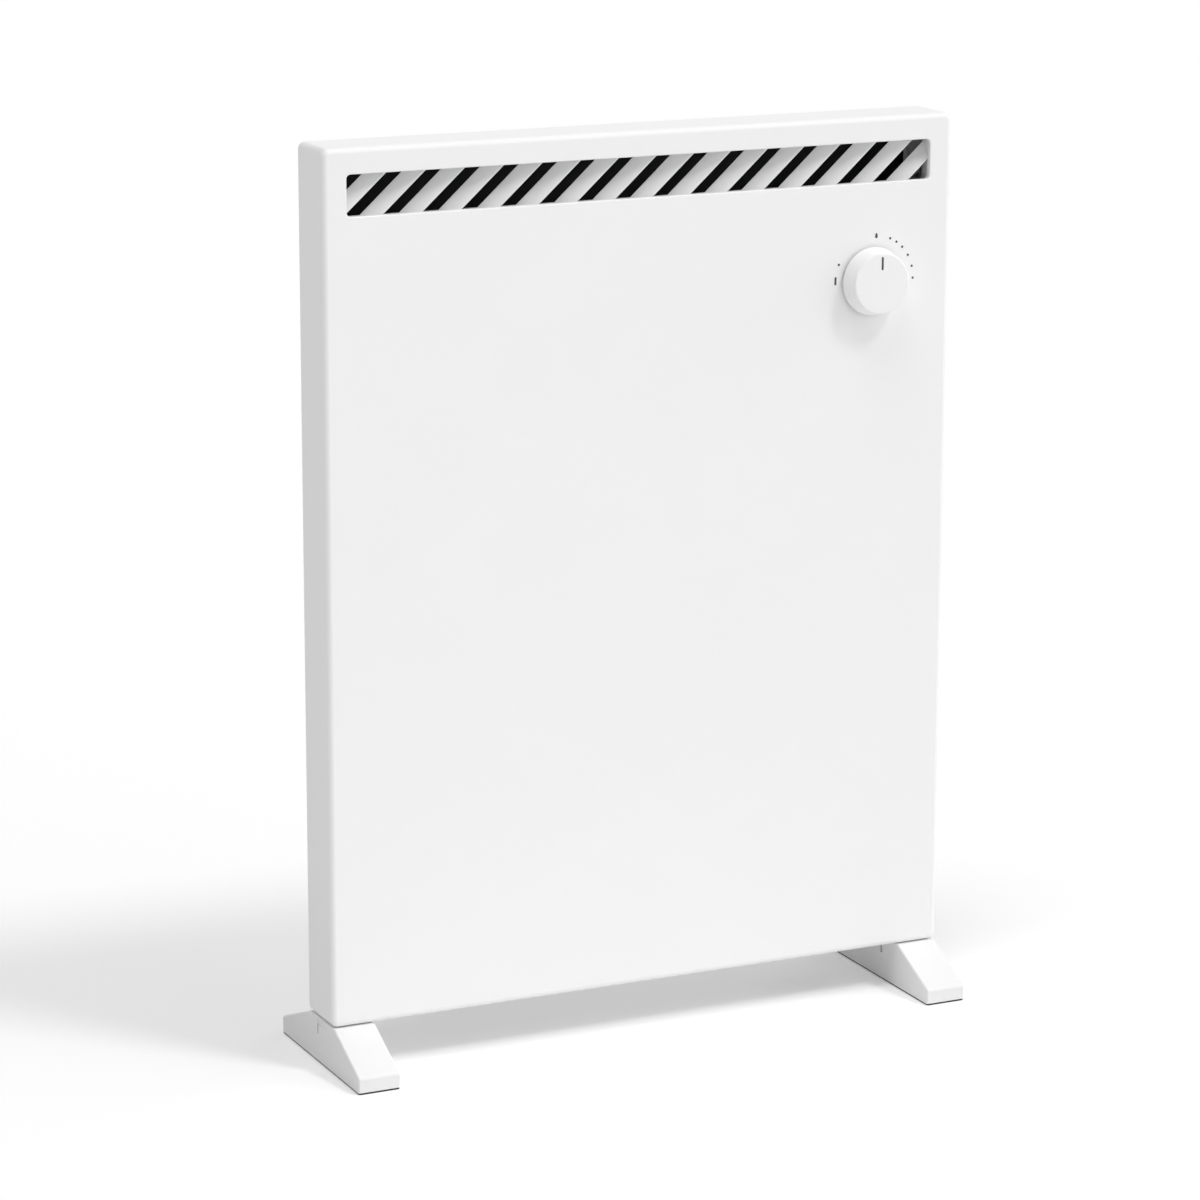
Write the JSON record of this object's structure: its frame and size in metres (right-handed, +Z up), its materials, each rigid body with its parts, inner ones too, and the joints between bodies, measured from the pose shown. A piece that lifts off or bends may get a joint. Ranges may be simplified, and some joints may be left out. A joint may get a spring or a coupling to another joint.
{
  "type": "wall panel convector heater",
  "caption": "Slim upright panel convector heater with a slanted louvre outlet near the top, a tapered thermostat dial, splayed floor feet and keyholes in its back for hanging on a wall.",
  "frame": {"origin": "on the floor, under the middle of the feet's outline", "axes": "+Z up; -Y is the front with the dial and the louvre; +X is to the right seen from the front"},
  "size_m": [0.48, 0.144, 0.647],
  "materials": {
    "white_coat": "satin powder coat",
    "black_coat": "matt heat-resistant paint",
    "galvanised": "galvanised",
    "zinc_plated": "bright zinc plate",
    "rod_sheath": "oxidised stainless steel",
    "fin_alloy": "extruded, plain",
    "white_plastic": "satin moulded",
    "knob_plastic": "satin moulded",
    "grille_plastic": "satin moulded, heat resistant",
    "dark_plastic": "moulded",
    "natural_plastic": "translucent natural nylon",
    "pointer_grey": "matt inlay",
    "sole_rubber": "matt",
    "lead_brown": "silicone insulation",
    "lead_blue": "silicone insulation",
    "lead_white": "silicone insulation",
    "lead_green": "silicone insulation",
    "contact_brass": "plain",
    "copper_bulb": "plain copper",
    "white_ceramic": "unglazed steatite"
  },
  "bodies": {
    "casing": {"front_cover": "white_coat", "rear_panel": "white_coat", "case_screws": "zinc_plated", "louvre_grille": "grille_plastic", "grille_push_nuts": "zinc_plated", "air_deflector": "black_coat", "heat_shield": "galvanised", "front_baffle": "galvanised", "element_fins": "fin_alloy", "heater_rod": "rod_sheath", "element_insulators": "white_ceramic", "element_bushes": "white_ceramic", "left_element_bracket": "galvanised", "right_element_bracket": "galvanised", "element_screws": "zinc_plated", "thermostat_body": "dark_plastic", "thermostat_blades": "contact_brass", "thermostat_bracket": "galvanised", "thermostat_nut": "zinc_plated", "sensing_bulb": "copper_bulb", "bulb_clips": "natural_plastic", "thermal_cutout": "dark_plastic", "cutout_screws": "zinc_plated", "terminal_block": "natural_plastic", "terminal_screws": "contact_brass", "earth_stud": "zinc_plated", "earth_nut": "contact_brass", "cable_gland": "dark_plastic", "gland_nut": "dark_plastic", "live_lead": "lead_brown", "switched_lead": "lead_white", "element_lead": "lead_white", "neutral_lead": "lead_blue", "earth_lead": "lead_green", "lead_clips": "natural_plastic", "left_foot": "white_plastic", "left_foot_pad": "sole_rubber", "right_foot": "white_plastic", "right_foot_pad": "sole_rubber", "foot_screws": "zinc_plated", "foot_nuts": "zinc_plated"},
    "dial": {"knob": "knob_plastic", "knob_pointer": "pointer_grey", "knob_spring": "zinc_plated", "thermostat_spindle": "zinc_plated"}
  },
  "joints": [
    {"name": "dial_turn", "type": "hinge", "parent": "casing", "child": "dial", "pos_m": [0.1772, -0.03, 0.5306], "axis": [0, 1, 0], "range_deg": [-90, 90]}
  ]
}
